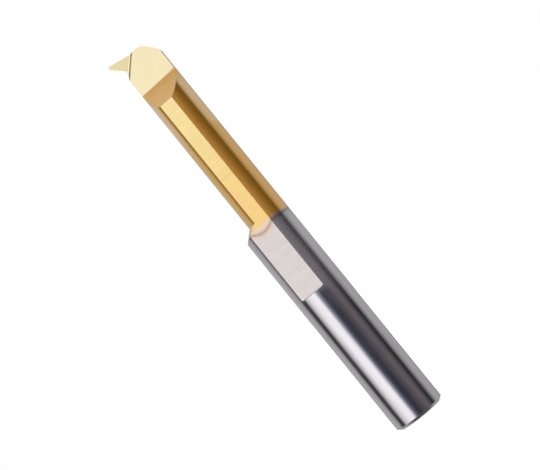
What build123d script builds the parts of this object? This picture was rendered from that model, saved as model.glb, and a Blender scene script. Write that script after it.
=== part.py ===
"""Solid carbide miniature boring bar, ground from one round blank.

Frame: +Z runs along the shank axis from the rear end face to the cutting
head, the origin is the centre of the rear end face, the rake face and the
clamping flat face -Y, and the cutting tip points towards -X.  Millimetres.
"""

from build123d import *
from build123d.topology import SkipClean
import math
import os

# ---- driving dimensions -------------------------------------------------

# shank
shank_diameter = 6.0
shank_radius = shank_diameter / 2
rear_chamfer_axial = 0.34
rear_chamfer_radial = 0.48

# clamping flat, one plane from the head ramp to its rear run-out
flat_height = 2.60  # from the shank axis
flat_rear_end = 17.19  # height above the rear face
flat_run_out_radius = 0.20

# head
rake_foot = 45.46  # height at which the ramp leaves the rake face
ramp_angle = 45.0
ramp_foot_radius = 0.30

# neck relief: an eccentric arc, a short flat flank and a rounded underside
neck_radius = 2.953
neck_offset = 1.2375
flank_angle = 17.54
flank_length = 1.35
underside_radius = 2.20
shoulder_height = 26.85  # the relief starts here and rises at 45 degrees
shoulder_angle = 45.0

# outline of the head in the rake plane, as (X, Z)
tip_corner = (-3.241, 50.423)  # before the nose radius
front_corner = (0.0, 49.885)
corner_start = (0.95, 49.825)
corner_middle = (1.44, 49.725)
corner_end = (1.87, 49.460)
bevel_end = (2.65, 48.560)
bevel_exit = (3.35, 47.350)
notch = (-1.59, 48.710)
nose_radius = 0.20
notch_radius = 0.20
clearance_angle = 10.0
back_edge_run = 0.32  # sideways run per mm of length behind the notch

# chip former: a step across the tip, its wall top through this point
wall_point = (0.276, 49.680)
wall_direction = 45.9  # degrees between the wall and the shank axis
wall_depth = 0.30
wall_slope = 47.0
tip_face_angle = 7.3
chip_former_radius = 0.28

# ---- shank blank --------------------------------------------------------

# Three stretches of the same cylinder, end to end: full round up to where the
# clamping flat has its full width, then beside the flat, then beside the neck.
blank_length = 50.9
full_round_end = flat_rear_end + flat_run_out_radius
relief_start = shoulder_height + 0.15


def stretch(low, high):
    return Pos(0, 0, low) * Cylinder(
        shank_radius, high - low, align=(Align.CENTER, Align.CENTER, Align.MIN)
    )


rear_stretch = stretch(0.0, full_round_end)
rear_edge = rear_stretch.edges().filter_by(GeomType.CIRCLE).sort_by(Axis.Z)[0]
rear_face = rear_stretch.faces().sort_by(Axis.Z)[0]
rear_stretch = chamfer(
    rear_edge, rear_chamfer_radial, length2=rear_chamfer_axial, reference=rear_face
)
with SkipClean():
    blank = (
        rear_stretch
        + stretch(full_round_end, relief_start)
        + stretch(relief_start, blank_length)
    )

# ---- neck relief --------------------------------------------------------

fa = math.radians(flank_angle)
top = (neck_offset, -neck_radius)
mid_a = math.radians(45.0)
mid = (
    neck_offset - neck_radius * math.cos(mid_a),
    -neck_radius * math.sin(mid_a),
)
tangent = (
    neck_offset - neck_radius * math.cos(fa),
    -neck_radius * math.sin(fa),
)
flank_end = (
    tangent[0] - flank_length * math.sin(fa),
    tangent[1] + flank_length * math.cos(fa),
)
under_centre = (
    flank_end[0] + underside_radius * math.cos(fa),
    flank_end[1] + underside_radius * math.sin(fa),
)
under_mid = (
    under_centre[0] - underside_radius * math.sin(mid_a),
    under_centre[1] + underside_radius * math.cos(mid_a),
)
under_low = (under_centre[0], under_centre[1] + underside_radius)

neck_wire = Wire(
    [
        Edge.make_line(Vector(*top, 0), Vector(6.0, top[1], 0)),
        Edge.make_line(Vector(6.0, top[1], 0), Vector(6.0, under_low[1], 0)),
        Edge.make_line(Vector(6.0, under_low[1], 0), Vector(*under_low, 0)),
        Edge.make_three_point_arc(
            Vector(*under_low, 0), Vector(*under_mid, 0), Vector(*flank_end, 0)
        ),
        Edge.make_line(Vector(*flank_end, 0), Vector(*tangent, 0)),
        Edge.make_three_point_arc(
            Vector(*tangent, 0), Vector(*mid, 0), Vector(*top, 0)
        ),
    ]
)
neck_face = Face(neck_wire)

relief_rear = shoulder_height - 1.40
relief_front = 48.36
neck_core = extrude(
    Pos(0, 0, shoulder_height) * neck_face,
    amount=relief_front + 1.0 - shoulder_height,
    dir=(0, 0, 1),
)
shoulder_run = 1.60
shoulder_rise = shoulder_run * math.tan(math.radians(shoulder_angle))
wide_face = Face(
    neck_face.outer_wire().offset_2d(shoulder_rise, kind=Kind.INTERSECTION)
)
shoulder_core = Pos(0, 0, shoulder_height - shoulder_run) * Solid.extrude_taper(
    wide_face, Vector(0, 0, shoulder_run), shoulder_angle
)
relief_box = Pos(-1.5, 0, (relief_rear + relief_front) / 2) * Box(
    5.0, 9.0, relief_front - relief_rear
)
relief = relief_box - (neck_core + shoulder_core)

# ---- flat, ramp and rake face ------------------------------------------

ramp_top = rake_foot - flat_height / math.tan(math.radians(ramp_angle))
side = Plane.YZ
profile = side * Polyline(
    (0.0, 52.0),
    (0.0, rake_foot),
    (-flat_height, ramp_top),
    (-flat_height, flat_rear_end),
    (-4.0, flat_rear_end),
    (-4.0, 52.0),
    close=True,
)
profile = make_face(profile)
foot = [v for v in profile.vertices() if abs(v.Z - rake_foot) < 1e-6 and abs(v.Y) < 1e-6]
profile = fillet(foot, ramp_foot_radius)
run_out = [
    v
    for v in profile.vertices()
    if abs(v.Z - flat_rear_end) < 1e-6 and abs(v.Y + flat_height) < 1e-6
]
profile = fillet(run_out, flat_run_out_radius)
top_cut = extrude(profile, amount=5.0, both=True)

# ---- head outline with clearance all round ------------------------------

lift = 0.30  # the tapered body starts this far above the rake plane
grow = lift * math.tan(math.radians(clearance_angle))
tail = 42.5
side_exit = (notch[0] - back_edge_run * (notch[1] - tail), tail)
outline_plane = Plane(origin=(0, 0, 0), x_dir=(1, 0, 0), z_dir=(0, 1, 0))


def on_rake(p):
    return (p[0], -p[1])


with BuildSketch() as head_sketch:
    with BuildLine():
        Line(on_rake(tip_corner), on_rake(front_corner))
        Line(on_rake(front_corner), on_rake(corner_start))
        ThreePointArc(
            on_rake(corner_start), on_rake(corner_middle), on_rake(corner_end)
        )
        Line(on_rake(corner_end), on_rake(bevel_end))
        Line(on_rake(bevel_end), on_rake(bevel_exit))
        Line(on_rake(bevel_exit), on_rake((5.2, 47.0)))
        Line(on_rake((5.2, 47.0)), on_rake((5.2, tail)))
        Line(on_rake((5.2, tail)), on_rake(side_exit))
        Line(on_rake(side_exit), on_rake(notch))
        Line(on_rake(notch), on_rake(tip_corner))
    make_face()
    inner = head_sketch.vertices().sort_by_distance(Vector(*on_rake(notch), 0))[0]
    fillet(inner, notch_radius)
    offset(amount=grow, kind=Kind.INTERSECTION, mode=Mode.REPLACE)

start = Plane(origin=(0, -lift, 0), x_dir=(1, 0, 0), z_dir=(0, 1, 0))
head_face = head_sketch.sketch.faces()[0]
head_core = start.location * Solid.extrude_taper(
    head_face, Vector(0, 0, 3.9), clearance_angle
)


def edges_near(shape, x, z, tolerance=0.35):
    found = []
    for e in shape.edges():
        ends = [e.position_at(0), e.position_at(1)]
        upper = min(ends, key=lambda p: p.Y)
        if abs(ends[0].Y - ends[1].Y) < 1.0:
            continue
        if math.hypot(upper.X - x, upper.Z - z) < tolerance:
            found.append(e)
    return found


head_core = head_core.fillet(nose_radius, edges_near(head_core, *tip_corner))
head_box = Pos(0, 1.65, (44.2 + 51.6) / 2) * Box(9.0, 3.84, 51.6 - 44.2)
head_cut = head_box - head_core

# ---- chip former --------------------------------------------------------

wd = math.radians(wall_direction)
along = Vector(-math.sin(wd), 0, -math.cos(wd))  # towards the notch side
across = Vector(-math.cos(wd), 0, math.sin(wd))  # towards the tip
origin = Vector(wall_point[0], 0, wall_point[1])
cross_plane = Plane(origin=origin, x_dir=across, z_dir=along)
up = 1.0 if cross_plane.y_dir.Y < 0 else -1.0
wall_run = wall_depth / math.tan(math.radians(wall_slope))
face_run = 3.4
face_rise = face_run * math.tan(math.radians(tip_face_angle))
former = cross_plane * Polyline(
    (-wall_run, up * wall_depth),
    (wall_run, -up * wall_depth),
    (wall_run + face_run, up * (face_rise - wall_depth)),
    (wall_run + face_run, up * 1.2),
    (-wall_run, up * 1.2),
    close=True,
)
former = make_face(former)
root = cross_plane.from_local_coords((wall_run, -up * wall_depth, 0))
root_vertex = former.vertices().sort_by_distance(root)[0]
former = fillet(root_vertex, chip_former_radius)
chip_former = extrude(former, amount=4.4, dir=along) + extrude(
    former, amount=1.6, dir=along * -1
)

# ---- the bar ------------------------------------------------------------

with SkipClean():
    bar = blank - relief
    bar = bar - top_cut
    bar = bar - head_cut
    bar = bar - chip_former
bar = bar.solids().sort_by(SortBy.VOLUME)[-1]
bar.label = "boring_bar"

os.makedirs("parts", exist_ok=True)
export_step(bar, "parts/boring_bar.step")

box = bar.bounding_box()
print("size", box.size, "low", box.min, "high", box.max)
print("volume", round(bar.volume, 2), "valid", bar.is_valid)
print("centre of mass", bar.center(CenterOf.MASS))
for face in bar.faces().filter_by(GeomType.CYLINDER):
    low, high = face.bounding_box().min.Z, face.bounding_box().max.Z
    print("cylinder", round(face.area, 2), round(low, 2), round(high, 2))
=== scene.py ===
import math

import bmesh
import bpy
from mathutils import Matrix, Vector


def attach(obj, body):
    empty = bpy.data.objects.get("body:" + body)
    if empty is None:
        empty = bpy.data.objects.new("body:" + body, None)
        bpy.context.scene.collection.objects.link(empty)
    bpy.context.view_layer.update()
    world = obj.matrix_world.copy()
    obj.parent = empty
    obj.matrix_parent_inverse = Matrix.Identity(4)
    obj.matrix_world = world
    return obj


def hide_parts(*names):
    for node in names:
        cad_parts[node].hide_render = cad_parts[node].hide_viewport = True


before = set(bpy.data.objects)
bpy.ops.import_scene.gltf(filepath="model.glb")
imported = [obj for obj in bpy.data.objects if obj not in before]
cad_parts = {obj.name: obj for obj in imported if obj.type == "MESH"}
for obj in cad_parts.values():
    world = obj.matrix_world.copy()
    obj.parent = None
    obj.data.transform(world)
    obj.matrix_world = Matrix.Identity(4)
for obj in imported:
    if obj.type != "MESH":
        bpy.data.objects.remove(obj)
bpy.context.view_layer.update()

MM = 0.001
scene = bpy.context.scene
scene.view_settings.view_transform = "Standard"
scene.view_settings.look = "None"
scene.view_settings.exposure = 0.0
scene.view_settings.gamma = 1.0

# ---- camera ---------------------------------------------------------------

right = Vector((0.73038, 0.26894, -0.62788)).normalized()
back = Vector((0.30087, -0.95192, -0.05774)).normalized()
up = back.cross(right).normalized()
right = up.cross(back).normalized()
camera_data = bpy.data.cameras.new("camera")
camera_data.sensor_fit = "HORIZONTAL"
camera_data.sensor_width = 36.0
camera_data.lens = 36.0 * 1583.3 / 540.0
camera_data.clip_start = 0.005
camera_data.clip_end = 20.0
camera = bpy.data.objects.new("camera", camera_data)
scene.collection.objects.link(camera)
pose = Matrix((right, up, back)).transposed().to_4x4()
pose.translation = Vector((50.72, -161.96, 15.20)) * MM
camera.matrix_world = pose
scene.camera = camera


# ---- node helpers -----------------------------------------------------------

class Graph:
    """Short names for building a node tree."""

    def __init__(self, tree):
        self.tree = tree
        self.n = tree.nodes
        self.l = tree.links

    def new(self, kind, **settings):
        node = self.n.new(kind)
        for key, value in settings.items():
            setattr(node, key, value)
        return node

    def put(self, value, socket):
        if isinstance(value, bpy.types.NodeSocket):
            self.l.new(value, socket)
        else:
            socket.default_value = value

    def math(self, op, a, b=0.0, c=0.0, clamp=False):
        node = self.new("ShaderNodeMath", operation=op, use_clamp=clamp)
        for value, socket in zip((a, b, c), node.inputs):
            self.put(value, socket)
        return node.outputs[0]

    def add(self, a, b):
        return self.math("ADD", a, b)

    def sub(self, a, b):
        return self.math("SUBTRACT", a, b)

    def mul(self, a, b):
        return self.math("MULTIPLY", a, b)

    def step(self, x, low, high, out_low=0.0, out_high=1.0):
        node = self.new("ShaderNodeMapRange", interpolation_type="SMOOTHSTEP")
        self.put(x, node.inputs["Value"])
        self.put(low, node.inputs["From Min"])
        self.put(high, node.inputs["From Max"])
        self.put(out_low, node.inputs["To Min"])
        self.put(out_high, node.inputs["To Max"])
        return node.outputs["Result"]

    def bump_at(self, x, centre, width):
        """1 at the centre, falling to 0 a width away."""
        off = self.math("ABSOLUTE", self.sub(x, centre))
        return self.step(off, 0.0, width, 1.0, 0.0)

    def mix(self, fac, a, b):
        node = self.new("ShaderNodeMix", data_type="RGBA")
        self.put(fac, node.inputs[0])
        self.put(a if isinstance(a, bpy.types.NodeSocket) else (*a, 1.0), node.inputs[6])
        self.put(b if isinstance(b, bpy.types.NodeSocket) else (*b, 1.0), node.inputs[7])
        return node.outputs[2]

    def tint(self, colour, amount):
        """colour multiplied by a grey amount"""
        node = self.new("ShaderNodeVectorMath", operation="SCALE")
        self.put(colour, node.inputs[0])
        self.put(amount, node.inputs["Scale"])
        return node.outputs[0]

    def noise(self, vector, scale=1.0, detail=2.0, roughness=0.5):
        node = self.new("ShaderNodeTexNoise")
        self.l.new(vector, node.inputs["Vector"])
        node.inputs["Scale"].default_value = scale
        node.inputs["Detail"].default_value = detail
        node.inputs["Roughness"].default_value = roughness
        return node.outputs["Fac"]

    def vector(self, x, y, z):
        node = self.new("ShaderNodeCombineXYZ")
        for value, socket in zip((x, y, z), node.inputs):
            self.put(value, socket)
        return node.outputs[0]

    def ramp(self, fac, stops, interpolation="LINEAR"):
        node = self.new("ShaderNodeValToRGB")
        node.color_ramp.interpolation = interpolation
        points = node.color_ramp.elements
        while len(points) < len(stops):
            points.new(0.5)
        for point, (where, colour) in zip(points, stops):
            point.position = where
            point.color = (*colour, 1.0) if len(colour) == 3 else colour
        self.l.new(fac, node.inputs[0])
        return node.outputs[0]


# ---- studio: one large soft panel to the left, dark flags to the right ------

def studio():
    world = bpy.data.worlds.new("studio")
    scene.world = world
    world.use_nodes = True
    g = Graph(world.node_tree)
    g.n.clear()
    coord = g.new("ShaderNodeTexCoord")
    split = g.new("ShaderNodeSeparateXYZ")
    g.l.new(coord.outputs["Generated"], split.inputs[0])
    x, y, z = split.outputs
    front = Vector((back.x, back.y, 0.0)).normalized()
    side = Vector((-front.y, front.x, 0.0))
    ahead = g.add(g.mul(x, front.x), g.mul(y, front.y))
    across = g.add(g.mul(x, side.x), g.mul(y, side.y))
    angle = g.mul(g.math("ARCTAN2", across, ahead), 180.0 / math.pi)
    height = g.mul(g.math("ARCSINE", z), 180.0 / math.pi)
    turn = g.add(g.mul(angle, 1.0 / 360.0), 0.5)

    def at(degrees):
        return degrees / 360.0 + 0.5

    def grey(v, warm=0.0):
        return (v * (1 + warm), v, v * (1 - warm))

    # one tall soft panel to the left with soft ends, a dark flag either side of
    # it, a deep shadow side with a faint fill, and pale walls behind the bar
    low = g.ramp(turn, [
        (at(-180.0), grey(0.38)),
        (at(-150.0), grey(0.42)),
        (at(-112.0), grey(0.37)),
        (at(-106.0), grey(0.27)),
        (at(-99.0), grey(0.045)),
        (at(-87.0), grey(0.030)),
        (at(-81.0), grey(0.10)),
        (at(-74.0), grey(0.50)),
        (at(-69.0), grey(0.66)),
        (at(-57.0), grey(0.87)),
        (at(-47.0), grey(1.00)),
        (at(-36.0), grey(0.98)),
        (at(-28.0), grey(0.97)),
        (at(-24.0), (0.68, 0.68, 0.73)),
        (at(-17.5), (0.20, 0.21, 0.25)),
        (at(-9.0), (0.070, 0.078, 0.106)),
        (at(0.0), (0.026, 0.030, 0.046)),
        (at(12.0), (0.038, 0.038, 0.050)),
        (at(26.0), (0.070, 0.065, 0.075)),
        (at(40.0), (0.118, 0.105, 0.115)),
        (at(54.0), (0.122, 0.110, 0.117)),
        (at(64.0), grey(0.064)),
        (at(74.0), grey(0.014)),
        (at(81.0), grey(0.022)),
        (at(89.0), grey(0.18)),
        (at(98.0), grey(0.33)),
        (at(114.0), grey(0.380)),
        (at(140.0), grey(0.370)),
        (at(156.0), grey(0.25)),
        (at(180.0), grey(0.34)),
    ])
    high = g.ramp(turn, [
        (at(-180.0), grey(0.30)),
        (at(-150.0), grey(0.46)),
        (at(-118.0), grey(0.46)),
        (at(-90.0), grey(0.80)),
        (at(-15.0), grey(0.90)),
        (at(20.0), grey(0.30)),
        (at(90.0), grey(0.30)),
        (at(180.0), grey(0.30)),
    ])
    lifted = g.mix(g.step(height, 14.0, 30.0), low, high)
    domed = g.mix(g.step(height, 46.0, 62.0), lifted, grey(0.52))
    table = g.mix(g.step(height, -14.0, -34.0), domed, grey(0.34))
    full = g.mix(g.step(height, -46.0, -62.0), table, grey(0.07))
    lamp = g.new("ShaderNodeBackground")
    g.l.new(full, lamp.inputs["Color"])
    lamp.inputs["Strength"].default_value = 1.30
    paper = g.new("ShaderNodeBackground")
    paper.inputs["Color"].default_value = (1.0, 1.0, 1.0, 1.0)
    paper.inputs["Strength"].default_value = 1.0
    ray = g.new("ShaderNodeLightPath")
    both = g.new("ShaderNodeMixShader")
    g.l.new(ray.outputs["Is Camera Ray"], both.inputs[0])
    g.l.new(lamp.outputs[0], both.inputs[1])
    g.l.new(paper.outputs[0], both.inputs[2])
    out = g.new("ShaderNodeOutputWorld")
    g.l.new(both.outputs[0], out.inputs["Surface"])


studio()


def floor():
    size = 4.0
    mesh = bpy.data.meshes.new("floor")
    mesh.from_pydata(
        [(-size, -size, 0), (size, -size, 0), (size, size, 0), (-size, size, 0)],
        [], [(0, 1, 2, 3)],
    )
    obj = bpy.data.objects.new("floor", mesh)
    scene.collection.objects.link(obj)
    material = bpy.data.materials.new("floor_paper")
    material.use_nodes = True
    g = Graph(material.node_tree)
    shader = g.n["Principled BSDF"]
    shader.inputs["Base Color"].default_value = (0.86, 0.86, 0.86, 1.0)
    shader.inputs["Roughness"].default_value = 0.9
    shader.inputs["Specular IOR Level"].default_value = 0.0
    shader.inputs["Emission Color"].default_value = (1.0, 1.0, 1.0, 1.0)
    shader.inputs["Emission Strength"].default_value = 0.72
    mesh.materials.append(material)
    obj.visible_glossy = False


floor()


# ---- the bar as a fine mesh, from the same dimensions as the frame ----------
# Millimetres until the last step.

def rounded(points, radii, segments=10):
    """A closed outline with the given corner radii. Every outline made from the same corners has the same count."""
    out = []
    count = len(points)
    for i, corner in enumerate(points):
        radius = radii[i]
        here = Vector(corner)
        if radius <= 0.0:
            out.append(here)
            continue
        before = (Vector(points[i - 1]) - here).normalized()
        after = (Vector(points[(i + 1) % count]) - here).normalized()
        half = before.angle(after) / 2.0
        reach = radius / math.tan(half)
        centre = here + (before + after).normalized() * (radius / math.sin(half))
        first = here + before * reach - centre
        last = here + after * reach - centre
        sweep = first.angle(last)
        turn = 1.0 if first.x * last.y - first.y * last.x > 0 else -1.0
        for k in range(segments + 1):
            a = turn * sweep * k / segments
            out.append(centre + Vector((
                first.x * math.cos(a) - first.y * math.sin(a),
                first.x * math.sin(a) + first.y * math.cos(a),
            )))
    return out


def grown(points, amount):
    """Outline moved outwards by amount with mitred corners. Points run clockwise or not: area decides."""
    area = sum(
        points[i - 1][0] * points[i][1] - points[i][0] * points[i - 1][1]
        for i in range(len(points))
    )
    sign = 1.0 if area > 0 else -1.0
    out = []
    for i in range(len(points)):
        a, b, c = Vector(points[i - 1]), Vector(points[i]), Vector(points[(i + 1) % len(points)])
        d1, d2 = (b - a).normalized(), (c - b).normalized()
        n1 = Vector((d1.y, -d1.x)) * sign
        n2 = Vector((d2.y, -d2.x)) * sign
        m = n1 + n2
        out.append(b + m * (2.0 * amount / m.dot(m)))
    return out


def through(a, b, c, segments):
    """Points of the circular arc from a through b to c."""
    (ax, ay), (bx, by), (cx, cy) = a, b, c
    d = 2 * (ax * (by - cy) + bx * (cy - ay) + cx * (ay - by))
    ux = ((ax**2 + ay**2) * (by - cy) + (bx**2 + by**2) * (cy - ay) + (cx**2 + cy**2) * (ay - by)) / d
    uy = ((ax**2 + ay**2) * (cx - bx) + (bx**2 + by**2) * (ax - cx) + (cx**2 + cy**2) * (bx - ax)) / d
    r = math.hypot(ax - ux, ay - uy)
    t0, t1 = math.atan2(ay - uy, ax - ux), math.atan2(cy - uy, cx - ux)
    return [
        (ux + r * math.cos(t0 + (t1 - t0) * k / segments), uy + r * math.sin(t0 + (t1 - t0) * k / segments))
        for k in range(segments + 1)
    ]


def loft(name, rings):
    """A closed body through rings that have one point count."""
    count = len(rings[0])
    verts = [tuple(v) for ring in rings for v in ring]
    faces = [tuple(range(count))[::-1], tuple(range((len(rings) - 1) * count, len(rings) * count))]
    for r in range(len(rings) - 1):
        for i in range(count):
            j = (i + 1) % count
            faces.append((r * count + i, r * count + j, (r + 1) * count + j, (r + 1) * count + i))
    mesh = bpy.data.meshes.new(name)
    mesh.from_pydata(verts, [], faces)
    body = bmesh.new()
    body.from_mesh(mesh)
    bmesh.ops.recalc_face_normals(body, faces=body.faces)
    if body.calc_volume(signed=True) < 0:
        bmesh.ops.reverse_faces(body, faces=body.faces)
    body.to_mesh(mesh)
    body.free()
    obj = bpy.data.objects.new(name, mesh)
    scene.collection.objects.link(obj)
    return obj


def block(name, low, high):
    (x0, y0, z0), (x1, y1, z1) = low, high
    ring = [(x0, y0), (x1, y0), (x1, y1), (x0, y1)]
    return loft(name, [[(x, y, z0) for x, y in ring], [(x, y, z1) for x, y in ring]])


def minus(a, b):
    """a less b; both objects are used up."""
    cut = a.modifiers.new("cut", "BOOLEAN")
    cut.operation = "DIFFERENCE"
    cut.solver = "EXACT"
    cut.object = b
    bpy.context.view_layer.update()
    result = bpy.data.meshes.new_from_object(a.evaluated_get(bpy.context.evaluated_depsgraph_get()))
    name = a.name
    for used in (a, b):
        old = used.data
        bpy.data.objects.remove(used)
        bpy.data.meshes.remove(old)
    obj = bpy.data.objects.new(name, result)
    scene.collection.objects.link(obj)
    return obj


def bar_mesh():
    round_count = 240
    flat_height, flat_rear = 2.60, 17.19
    rake_foot = 45.46
    shoulder = 26.85

    def circle(r, z):
        return [
            (r * math.cos(2 * math.pi * k / round_count), r * math.sin(2 * math.pi * k / round_count), z)
            for k in range(round_count)
        ]

    levels = [0.34 + (50.9 - 0.34) * k / 24 for k in range(25)]
    blank = loft("blank", [circle(2.52, 0.0)] + [circle(3.0, z) for z in levels])

    # neck: eccentric arc, short flank, rounded underside, and the 45 degree shoulder
    lean = math.radians(17.54)
    out_x, out_y = -math.cos(lean), -math.sin(lean)
    c1 = Vector((1.2375, 0.0))
    tangent = c1 + Vector((out_x, out_y)) * 2.953
    flank_end = tangent + Vector((-math.sin(lean), math.cos(lean))) * 1.35
    c2 = flank_end - Vector((out_x, out_y)) * 2.20

    def neck(more, z):
        ring = []
        for k in range(49):
            a = math.radians(270.0 - (72.46) * k / 48)
            ring.append((c1.x + (2.953 + more) * math.cos(a), c1.y + (2.953 + more) * math.sin(a), z))
        for k in range(49):
            a = math.radians(197.54 - (107.54) * k / 48)
            ring.append((c2.x + (2.20 + more) * math.cos(a), c2.y + (2.20 + more) * math.sin(a), z))
        ring.append((6.0 + more, c2.y + 2.20 + more, z))
        ring.append((6.0 + more, -2.953 - more, z))
        return ring

    core = loft("core", [neck(1.6, shoulder - 1.6), neck(0.0, shoulder), neck(0.0, 49.36)])
    relief = minus(block("relief", (-4.0, -4.5, 25.45), (1.0, 4.5, 48.36)), core)
    bar = minus(blank, relief)

    # rake face, ramp and clamping flat
    side = rounded(
        [(0.0, 52.0), (0.0, rake_foot), (-flat_height, rake_foot - flat_height),
         (-flat_height, flat_rear), (-4.0, flat_rear), (-4.0, 52.0)],
        [0, 0.30, 0, 0.20, 0, 0], 10,
    )
    top = loft("top", [[(-5.0, q.x, q.y) for q in side], [(5.0, q.x, q.y) for q in side]])
    bar = minus(bar, top)

    # head outline with 10 degrees of clearance
    notch, tail = (-1.59, 48.71), 42.5
    corners = [(-3.241, 50.423), (0.0, 49.885)]
    corners += through((0.95, 49.825), (1.44, 49.725), (1.87, 49.460), 12)
    corners += [(2.65, 48.56), (3.35, 47.35), (5.2, 47.0), (5.2, tail)]
    corners += [(notch[0] - 0.32 * (notch[1] - tail), tail), notch]

    def head_ring(y):
        more = -y * math.tan(math.radians(10.0))
        moved = grown(corners, more)
        radii = [0.0] * len(moved)
        radii[0] = 0.20
        radii[-1] = 0.20 - more
        return [(q.x, y, q.y) for q in rounded(moved, radii, 12)]

    head_core = loft("head_core", [head_ring(-0.30), head_ring(3.05)])
    head_cut = minus(block("head_cut", (-4.5, -0.27, 44.2), (4.5, 3.02, 51.6)), head_core)
    bar = minus(bar, head_cut)

    # chip former
    wd = math.radians(45.9)
    along = Vector((-math.sin(wd), 0.0, -math.cos(wd)))
    across = Vector((-math.cos(wd), 0.0, math.sin(wd)))
    start = Vector((0.276, 0.0, 49.680))
    depth = 0.30
    run = depth / math.tan(math.radians(47.0))
    rise = 3.4 * math.tan(math.radians(7.3))
    step = rounded(
        [(-run, depth), (run, -depth), (run + 3.4, rise - depth), (run + 3.4, 1.2), (-run, 1.2)],
        [0, 0.28, 0, 0, 0], 12,
    )

    def former(t):
        return [start + across * q.x + Vector((0, -1, 0)) * q.y + along * t for q in step]

    bar = minus(bar, loft("former", [former(-1.6), former(4.4)]))
    bar.name = "bar_ground"
    mesh = bar.data
    body = bmesh.new()
    body.from_mesh(mesh)
    # edges under 8 micrometres go, so that the edge break below never folds over one
    bmesh.ops.remove_doubles(body, verts=body.verts, dist=0.008)
    bmesh.ops.dissolve_degenerate(body, edges=body.edges, dist=0.008)
    bmesh.ops.recalc_face_normals(body, faces=body.faces)
    print("bar volume mm3", round(body.calc_volume(), 3),
          "open edges", sum(1 for e in body.edges if not e.is_manifold),
          "verts", len(body.verts), "faces", len(body.faces))
    body.to_mesh(mesh)
    body.free()
    mesh.materials.clear()

    # grinding leaves an edge about 6 micrometres wide, crisp but not perfectly sharp
    edge = bar.modifiers.new("edge", "BEVEL")
    edge.limit_method = "ANGLE"
    edge.angle_limit = math.radians(24.0)
    edge.width = 0.006
    edge.segments = 2
    edge.use_clamp_overlap = False
    edge.miter_outer = "MITER_ARC"
    bpy.context.view_layer.update()
    done = bpy.data.meshes.new_from_object(bar.evaluated_get(bpy.context.evaluated_depsgraph_get()))
    bar.modifiers.clear()
    bar.data = done
    bpy.data.meshes.remove(mesh)
    done.name = "bar_ground"
    done.transform(Matrix.Scale(MM, 4))
    for face in done.polygons:
        face.use_smooth = True
    done.set_sharp_from_angle(angle=math.radians(32.0))
    weigh = bar.modifiers.new("weigh", "WEIGHTED_NORMAL")
    weigh.keep_sharp = True
    weigh.weight = 80
    bpy.context.view_layer.update()
    soft = bpy.data.meshes.new_from_object(bar.evaluated_get(bpy.context.evaluated_depsgraph_get()))
    bar.modifiers.clear()
    bar.data = soft
    bpy.data.meshes.remove(done)
    soft.name = "bar_ground"

    # true normals on the round and plane faces, so that they reflect without bending
    axes = ((0.0, 0.0, 3.0), (c1.x, c1.y, 2.953), (c2.x, c2.y, 2.20))
    normals = [Vector(c.vector) for c in soft.corner_normals]
    for face in soft.polygons:
        spots = [soft.vertices[v].co / MM for v in face.vertices]
        middle = face.center / MM
        turned = None
        if abs(face.normal.z) < 0.02:
            for x, y, r in axes:
                if all(abs(math.hypot(q.x - x, q.y - y) - r) < 0.002 for q in spots):
                    out = Vector((middle.x - x, middle.y - y, 0.0)).normalized()
                    if out.dot(face.normal) > 0.999:
                        turned = (x, y)
                        break
        for loop, q in zip(face.loop_indices, spots):
            if turned:
                normals[loop] = Vector((q.x - turned[0], q.y - turned[1], 0.0)).normalized()
            elif face.area > 0.25 * MM * MM:
                normals[loop] = face.normal.copy()
    soft.normals_split_custom_set(normals)
    return bar


# ---- ground carbide, the front half gold coated, with painted shade and highlights on the gold ---

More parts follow.
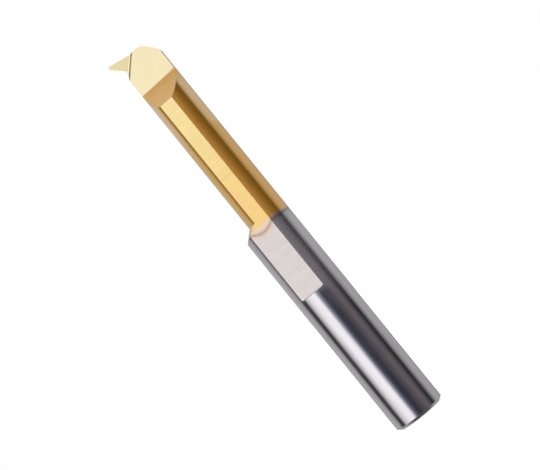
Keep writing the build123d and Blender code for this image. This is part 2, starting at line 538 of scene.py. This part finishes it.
def carbide():
    material = bpy.data.materials.new("ground_carbide_with_painted_light")
    material.use_nodes = True
    g = Graph(material.node_tree)
    shader = g.n["Principled BSDF"]

    coord = g.new("ShaderNodeTexCoord")
    scaled = g.new("ShaderNodeVectorMath", operation="SCALE")
    g.l.new(coord.outputs["Object"], scaled.inputs[0])
    scaled.inputs["Scale"].default_value = 1000.0
    p = g.new("ShaderNodeSeparateXYZ")
    g.l.new(scaled.outputs[0], p.inputs[0])
    X, Y, Z = p.outputs
    geometry = g.new("ShaderNodeNewGeometry")
    n = g.new("ShaderNodeSeparateXYZ")
    g.l.new(geometry.outputs["Normal"], n.inputs[0])
    NX, NY, NZ = n.outputs

    # which ground surface this is
    squarely = g.mul(g.step(g.math("ABSOLUTE", NX), 0.20, 0.12), g.step(NY, -0.50, -0.62))
    on_plain = g.mul(squarely, g.step(Z, 17.15, 17.20))
    off_flat = g.step(g.math("MAXIMUM", g.add(Y, 2.60), NZ), 0.05, 0.12)
    on_head = g.mul(g.mul(on_plain, off_flat), g.step(Z, 42.0, 42.2))
    on_flat = g.sub(on_plain, on_head)
    on_ramp = g.mul(on_head, g.step(NZ, 0.08, 0.60))
    on_tip = g.mul(on_head, g.step(g.add(g.mul(X, -0.696), g.mul(Z, 0.718)), 35.60, 35.75))
    slope = g.add(g.add(g.mul(NX, -0.509), g.mul(NY, -0.682)), g.mul(NZ, 0.525))
    on_wall = g.mul(g.step(slope, 0.90, 0.97), g.step(Z, 47.0, 47.2))
    on_root = g.mul(g.step(slope, 0.72, 0.82), g.mul(g.step(Z, 47.0, 47.2), g.step(NY, -0.60, -0.66)))
    on_end = g.mul(g.step(g.math("ABSOLUTE", NZ), 0.90, 0.98), g.step(Z, 1.0, 0.5))
    on_shoulder = g.mul(g.step(NZ, 0.08, 0.25), g.mul(g.step(Z, 27.4, 27.2), g.step(Z, 24.8, 25.2)))
    on_round = g.sub(1.0, on_plain)

    # waviness shared by everything
    soft = g.noise(g.vector(g.mul(X, 0.5), g.mul(Y, 0.5), g.mul(Z, 0.35)), 1.0, 3.0)
    cloudy = g.noise(g.vector(X, Y, Z), 1.6, 4.0, 0.6)

    # grinding lines across the plain faces: nearly constant along X, quick along Z
    lines_coarse = g.noise(g.vector(g.mul(X, 0.22), g.mul(Y, 0.22), g.mul(Z, 4.2)), 1.0, 3.0, 0.65)
    lines_fine = g.noise(g.vector(g.mul(X, 0.6), g.mul(Y, 0.6), g.mul(Z, 22.0)), 1.0, 3.0, 0.7)
    # fine rings of the round grinding, and long faint handling streaks along the bar
    rings = g.noise(g.vector(g.mul(X, 0.10), g.mul(Y, 0.10), g.mul(Z, 16.0)), 1.0, 4.0, 0.7)
    streaks = g.noise(g.vector(g.mul(X, 2.6), g.mul(Y, 2.6), g.mul(Z, 0.14)), 1.0, 3.0, 0.60)

    # straight marks of the surface grinder on the rear end face
    end_lines = g.noise(g.vector(g.mul(X, 9.0), g.mul(Y, 0.25), g.mul(Z, 0.2)), 1.0, 4.0, 0.7)

    # ---- colours
    gold_flat = g.mix(g.step(Z, 27.0, 43.0), (0.856, 0.593, 0.232), (0.854, 0.685, 0.330))
    gold_head = (0.845, 0.745, 0.472)
    gold_tip = (1.0, 0.852, 0.485)
    # painted shade: deeper orange on the front of the bar, paler towards its sides, picked by which way the surface
    # faces
    front_painted_shade = g.mul(g.step(NX, 0.20, 0.40), g.step(NY, -0.45, -0.55))
    # painted shade colour for the front of the round
    deep = g.mix(g.step(NX, 0.52, 0.82), (1.0, 0.475, 0.095), (0.83, 0.390, 0.045))
    # painted reflection: the plain side is paler still near the head, with a slanting edge
    slant = g.add(Z, g.mul(Y, 0.55))
    painted_reflection_side = g.mul(g.mul(g.step(slant, 37.70, 38.00), g.step(Z, 45.0, 43.4)), g.step(NX, 0.84, 0.93))
    # painted light: the underside of the neck is painted paler as well
    painted_light_under = g.mul(g.step(Z, 34.0, 41.5), g.step(NX, -0.50, -0.66))
    pale = g.math("MAXIMUM", painted_reflection_side, painted_light_under)
    # painted shading: the round gold takes other tones towards the back and the underside, by facing direction
    gold_round_and_painted_shading = g.mix(g.step(NY, -0.05, 0.45), (1.0, 0.590, 0.205), (0.960, 0.640, 0.250))
    gold_round_and_painted_shading = g.mix(g.step(NX, -0.25, -0.50), gold_round_and_painted_shading, (0.935, 0.575, 0.205))
    # painted reflection and painted light: the pale colour laid on those patches
    gold_round_and_painted_shading = g.mix(pale, gold_round_and_painted_shading, (1.0, 0.705, 0.385))
    gold_round_and_painted_shading = g.mix(front_painted_shade, gold_round_and_painted_shading, deep)
    # painted shade: a deeper orange band between the front and the underside
    below = g.mul(g.step(NX, -0.66, -0.54), g.step(NX, -0.30, -0.42))
    gold_round_and_painted_shading = g.mix(g.mul(below, g.step(NY, -0.50, -0.62)), gold_round_and_painted_shading, (0.96, 0.540, 0.135))
    # painted light: the shoulder is lightened where it would reflect the dark side of the studio
    gold_round_and_painted_shading = g.mix(on_shoulder, gold_round_and_painted_shading, (0.94, 0.70, 0.36))
    gold_ramp = (0.965, 0.610, 0.262)
    gold = g.mix(on_flat, gold_round_and_painted_shading, gold_flat)
    gold = g.mix(on_head, gold, gold_head)
    gold = g.mix(on_tip, gold, gold_tip)
    gold = g.mix(on_ramp, gold, gold_ramp)
    # painted highlight: a cream line along the root of the chip former
    gold = g.mix(g.mul(on_root, g.sub(1.0, on_wall)), gold, (1.0, 0.93, 0.74))
    # painted shade: the chip former wall is darkened to a brown
    gold = g.mix(on_wall, gold, (0.37, 0.280, 0.132))

    bare_round = (0.728, 0.700, 0.735)
    bare_flat = (0.658, 0.604, 0.594)
    bare = g.mix(on_flat, bare_round, bare_flat)

    # ---- edge of the coating: a soft fade, an oxide arc on the flat, a brown then bluish band on the round
    arc_x = g.sub(X, 0.10)
    arc = g.add(g.mul(g.mul(arc_x, arc_x), 0.24), 25.56)
    behind = g.sub(Z, arc)
    wobble = g.mul(g.sub(cloudy, 0.5), 0.16)
    along = g.add(Z, wobble)
    coat_round = g.step(along, 25.85, 26.60)
    coat_flat = g.step(along, 25.60, 26.60)
    coat = g.math("ADD", g.mul(coat_flat, on_flat), g.mul(coat_round, g.sub(1.0, on_flat)))
    pale_end = g.mul(g.mul(on_flat, g.step(behind, 0.0, 0.22)), g.sub(1.0, coat_flat))
    violet = g.mul(on_flat, g.bump_at(behind, -0.03, 0.34))
    warm = g.mul(on_flat, g.mul(g.step(behind, -1.05, -0.28), g.step(behind, 0.10, -0.02)))
    not_flat = g.sub(1.0, on_flat)
    brown = g.mul(not_flat, g.bump_at(along, 26.02, 0.34))
    bluish = g.mul(g.step(NX, 0.76, 0.88), g.mul(g.step(along, 24.60, 25.75), g.step(along, 26.05, 25.85)))

    base = g.mix(coat, bare, gold)
    base = g.mix(pale_end, base, (0.760, 0.600, 0.455))
    base = g.mix(g.mul(warm, 0.85), base, (0.700, 0.560, 0.480))
    base = g.mix(g.mul(violet, 0.92), base, (0.475, 0.325, 0.300))
    base = g.mix(g.mul(bluish, 0.55), base, (0.55, 0.60, 0.72))
    base = g.mix(g.mul(brown, 0.62), base, (0.34, 0.225, 0.16))

    # ---- tone of the grinding
    tone = g.add(0.955, g.mul(g.sub(lines_coarse, 0.5), g.add(0.03, g.mul(on_flat, 0.12))))
    tone = g.add(tone, g.mul(g.sub(lines_coarse, 0.5), g.mul(on_ramp, 0.14)))
    tone = g.add(tone, g.mul(g.sub(lines_fine, 0.5), g.add(0.03, g.mul(on_flat, 0.04))))
    tone = g.add(tone, g.mul(g.sub(cloudy, 0.5), g.mul(g.sub(1.0, on_end), 0.04)))
    tone = g.add(tone, g.mul(g.mul(g.sub(end_lines, 0.5), on_end), 0.22))
    bare_streaks = g.mul(g.mul(g.sub(streaks, 0.5), on_round), g.sub(1.0, coat))
    tone = g.add(tone, g.mul(g.mul(bare_streaks, g.sub(1.0, on_end)), 0.34))
    tone = g.add(tone, g.mul(g.mul(g.sub(streaks, 0.5), on_round), 0.10))
    # one deeper line across the flat
    tone = g.sub(tone, g.mul(g.mul(on_flat, g.bump_at(Z, 32.60, 0.14)), 0.095))
    # patches left by the wheel on the flats
    patch = g.noise(g.vector(g.mul(X, 1.1), g.mul(Y, 1.1), g.mul(Z, 0.9)), 1.0, 3.0, 0.55)
    tone = g.add(tone, g.mul(g.mul(g.sub(patch, 0.5), on_flat), 0.11))
    base = g.tint(base, tone)
    g.l.new(base, shader.inputs["Base Color"])

    # the coating scatters a little, and a faint haze of it lies on the shank near its edge
    # painted light: the extra scatter on the shoulder, the front and the pale patches lifts them out of their dark
    # reflections
    scatter_and_painted_light = g.add(0.215, g.mul(on_shoulder, 0.30))
    scatter_and_painted_light = g.add(scatter_and_painted_light, g.mul(g.mul(front_painted_shade, g.step(NX, 0.72, 0.50)), 0.22))
    scatter_and_painted_light = g.add(scatter_and_painted_light, g.mul(pale, 0.05))
    matte = g.mul(g.mul(coat, on_round), scatter_and_painted_light)
    haze = g.add(g.step(Z, 13.0, 20.0, 0.005, 0.060), g.mul(g.step(Z, 16.6, 17.4), g.mul(g.step(NX, 0.70, 0.50), 0.115)))
    haze = g.mul(g.mul(haze, g.step(NX, -0.30, 0.20)), g.mul(g.sub(1.0, coat), on_round))
    g.l.new(g.sub(1.0, g.add(matte, haze)), shader.inputs["Metallic"])
    rough = g.add(0.17, g.mul(on_plain, 0.10))
    rough = g.add(rough, g.mul(g.sub(lines_fine, 0.5), 0.10))
    rough = g.add(rough, g.mul(g.sub(soft, 0.5), 0.05))
    rough = g.add(rough, g.mul(g.mul(g.mul(g.sub(streaks, 0.5), on_round), g.sub(1.0, on_end)), 0.10))
    rough = g.add(rough, g.mul(on_end, g.add(0.06, g.mul(g.sub(end_lines, 0.5), 0.16))))
    g.l.new(rough, shader.inputs["Roughness"])

    height = g.add(g.mul(rings, on_round), g.mul(lines_fine, on_plain))
    height = g.add(height, g.mul(end_lines, on_end))
    height = g.add(height, g.mul(g.mul(lines_coarse, on_plain), 0.8))
    bump = g.new("ShaderNodeBump")
    bump.inputs["Strength"].default_value = 0.05
    bump.inputs["Distance"].default_value = 0.00001
    g.l.new(height, bump.inputs["Height"])
    g.l.new(bump.outputs[0], shader.inputs["Normal"])
    return material


carbide_and_painted_light = carbide()
bar = bar_mesh()
bar.data.materials.append(carbide_and_painted_light)
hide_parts("boring_bar")
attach(bar, "root")
